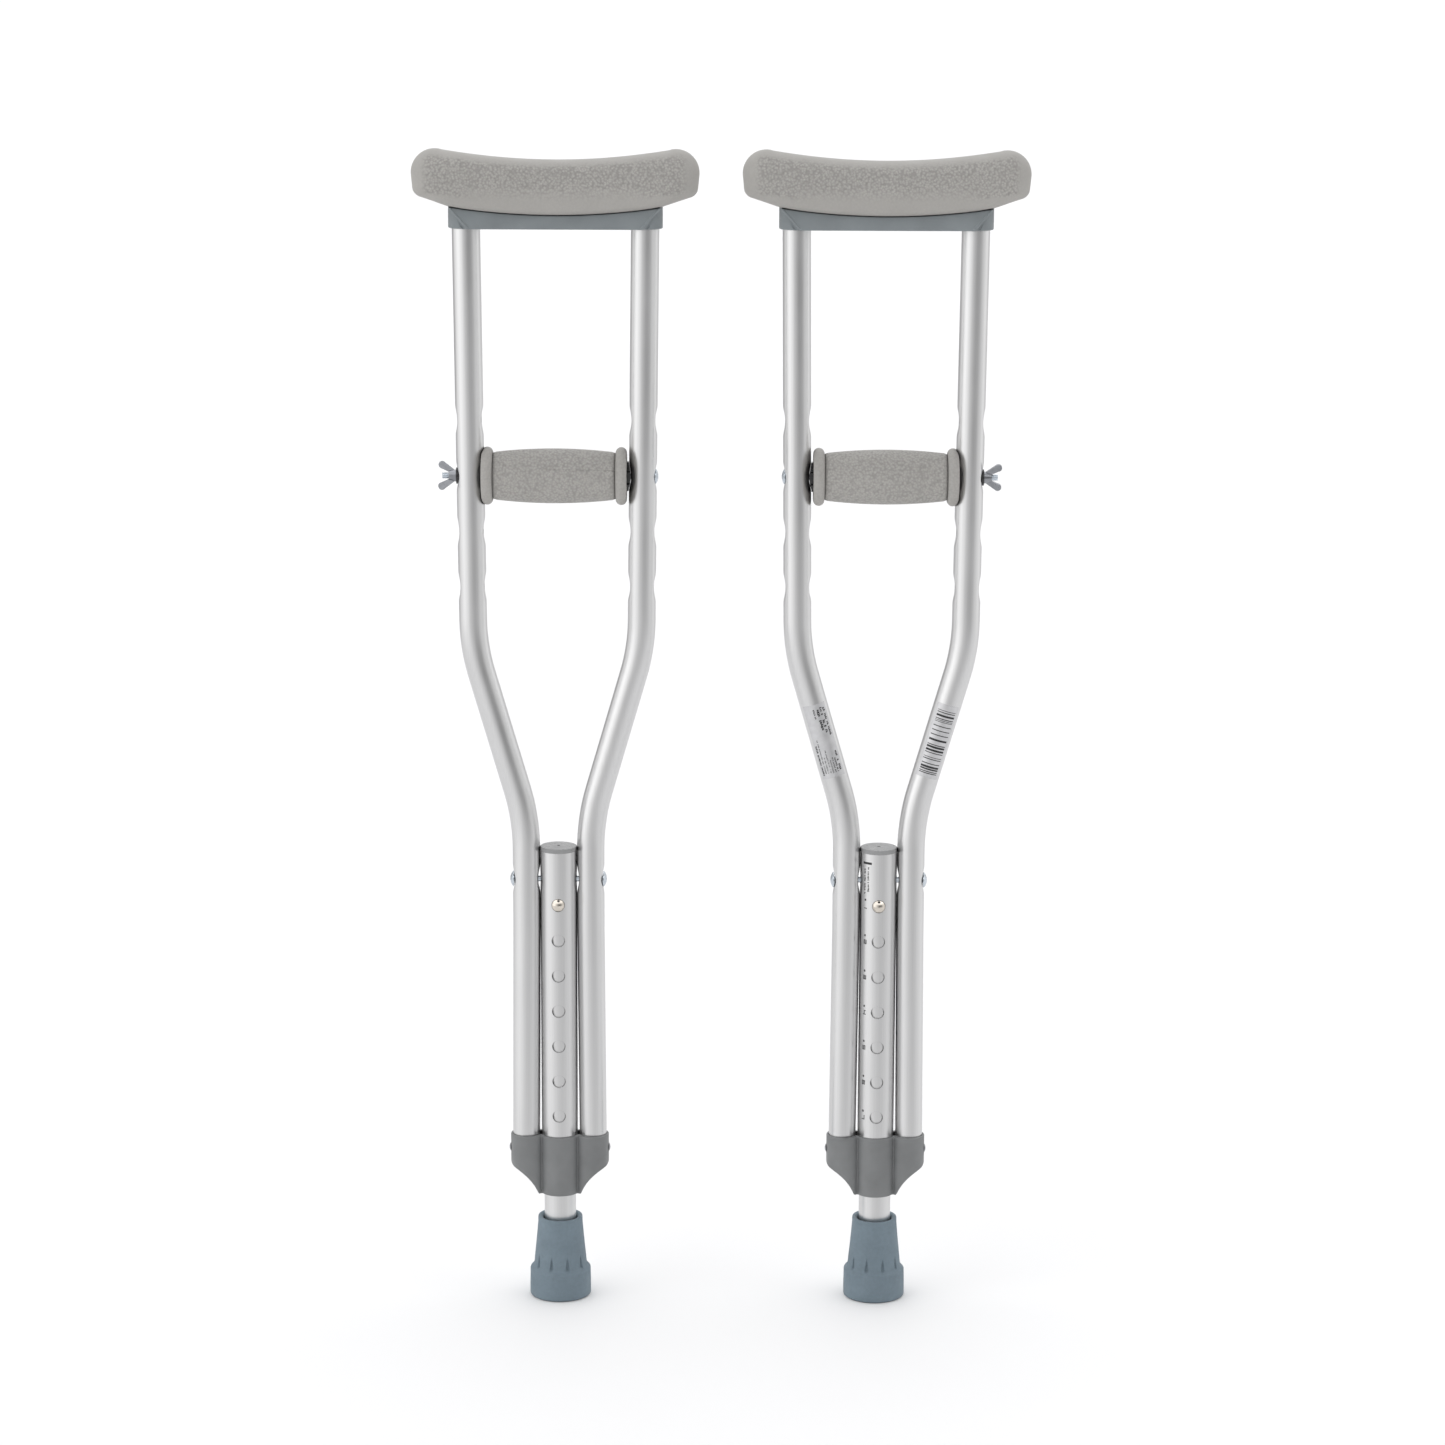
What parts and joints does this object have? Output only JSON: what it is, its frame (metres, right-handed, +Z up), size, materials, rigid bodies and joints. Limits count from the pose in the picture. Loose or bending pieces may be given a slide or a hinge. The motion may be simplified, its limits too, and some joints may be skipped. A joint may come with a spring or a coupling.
{
  "type": "pair of underarm crutches",
  "caption": "Pair of aluminium underarm crutches with saddle pads, foam hand grips on wing-nut bolts, snap-button height setting and rubber tips.",
  "frame": {"origin": "on the floor, midway between the two tips", "axes": "+Z up; +X from the left crutch to the right one, in the plane of both crutches; +Y to the back, away from the side seen in the picture"},
  "size_m": [0.4152, 0.043, 0.8048],
  "materials": {
    "foam_rubber": "matt, pebble grain",
    "bracket_plastic": "satin moulded",
    "yoke_plastic": "satin moulded",
    "black_plastic": "satin moulded",
    "tip_rubber": "matt",
    "satin_aluminium": "satin anodised",
    "zinc_steel": "bright zinc plated",
    "nickel_button": "bright nickel",
    "label_film": "silver film"
  },
  "bodies": {
    "left_frame": {"left_underarm_cushion": "foam_rubber", "left_underarm_bracket": "bracket_plastic", "left_outer_bow": "satin_aluminium", "left_inner_bow": "satin_aluminium", "left_centre_tube": "satin_aluminium", "left_tube_cap": "yoke_plastic", "left_cross_bolt": "zinc_steel", "left_cross_bolt_nut": "zinc_steel", "left_yoke": "yoke_plastic", "left_yoke_rivets": "zinc_steel", "left_labels": "label_film", "left_grip_cushion": "foam_rubber", "left_grip_core": "black_plastic", "left_grip_bolt": "zinc_steel"},
    "left_leg": {"left_leg_tube": "satin_aluminium", "left_button_spring": "zinc_steel", "left_rubber_tip": "tip_rubber", "left_tip_washer": "zinc_steel"},
    "left_front_button": {"left_front_button": "nickel_button"},
    "left_rear_button": {"left_rear_button": "nickel_button"},
    "left_washer": {"left_saddle_washer": "black_plastic"},
    "left_wing_nut": {"left_wing_nut": "zinc_steel"},
    "right_frame": {"right_underarm_cushion": "foam_rubber", "right_underarm_bracket": "bracket_plastic", "right_outer_bow": "satin_aluminium", "right_inner_bow": "satin_aluminium", "right_centre_tube": "satin_aluminium", "right_tube_cap": "yoke_plastic", "right_cross_bolt": "zinc_steel", "right_cross_bolt_nut": "zinc_steel", "right_yoke": "yoke_plastic", "right_yoke_rivets": "zinc_steel", "right_labels": "label_film", "right_grip_cushion": "foam_rubber", "right_grip_core": "black_plastic", "right_grip_bolt": "zinc_steel"},
    "right_leg": {"right_leg_tube": "satin_aluminium", "right_button_spring": "zinc_steel", "right_rubber_tip": "tip_rubber", "right_tip_washer": "zinc_steel"},
    "right_front_button": {"right_front_button": "nickel_button"},
    "right_rear_button": {"right_rear_button": "nickel_button"},
    "right_washer": {"right_saddle_washer": "black_plastic"},
    "right_wing_nut": {"right_wing_nut": "zinc_steel"}
  },
  "joints": [
    {"name": "left_leg_height", "type": "slide", "parent": "left_frame", "child": "left_leg", "axis": [0, 0, -1], "range_m": [0, 0.1524]},
    {"name": "left_front_button_press", "type": "slide", "parent": "left_leg", "child": "left_front_button", "axis": [0, -1, 0], "range_m": [0, 0.004], "stiffness_N_per_m": 1500, "springref_m": -0.002, "deforming": ["left_button_spring"]},
    {"name": "left_rear_button_press", "type": "slide", "parent": "left_leg", "child": "left_rear_button", "axis": [0, 1, 0], "range_m": [0, 0.004], "stiffness_N_per_m": 1500, "springref_m": -0.002, "deforming": ["left_button_spring"]},
    {"name": "left_washer_slide", "type": "slide", "parent": "left_frame", "child": "left_washer", "axis": [-1, 0, 0], "range_m": [0, 0.0035]},
    {"name": "left_wing_nut_spin", "type": "hinge", "parent": "left_washer", "child": "left_wing_nut", "pos_m": [-0.1816, 0, 0.5844], "axis": [-1, 0, 0], "range_deg": [0, 1800]},
    {"name": "right_leg_height", "type": "slide", "parent": "right_frame", "child": "right_leg", "axis": [0, 0, -1], "range_m": [0, 0.1524]},
    {"name": "right_front_button_press", "type": "slide", "parent": "right_leg", "child": "right_front_button", "axis": [0, 1, 0], "range_m": [0, 0.004], "stiffness_N_per_m": 1500, "springref_m": -0.002, "deforming": ["right_button_spring"]},
    {"name": "right_rear_button_press", "type": "slide", "parent": "right_leg", "child": "right_rear_button", "axis": [0, -1, 0], "range_m": [0, 0.004], "stiffness_N_per_m": 1500, "springref_m": -0.002, "deforming": ["right_button_spring"]},
    {"name": "right_washer_slide", "type": "slide", "parent": "right_frame", "child": "right_washer", "axis": [1, 0, 0], "range_m": [0, 0.0035]},
    {"name": "right_wing_nut_spin", "type": "hinge", "parent": "right_washer", "child": "right_wing_nut", "pos_m": [0.1816, 0, 0.5844], "axis": [1, 0, 0], "range_deg": [0, 1800]},
    {"name": "crutch_spread", "type": "slide", "parent": "left_frame", "child": "right_frame", "axis": [1, 0, 0], "range_m": [-0.02, 0.3]}
  ],
  "couplings": [
    {"joint": "left_wing_nut_spin", "follows": "left_washer_slide", "rad_per_m": 8976},
    {"joint": "right_wing_nut_spin", "follows": "right_washer_slide", "rad_per_m": 8976}
  ]
}
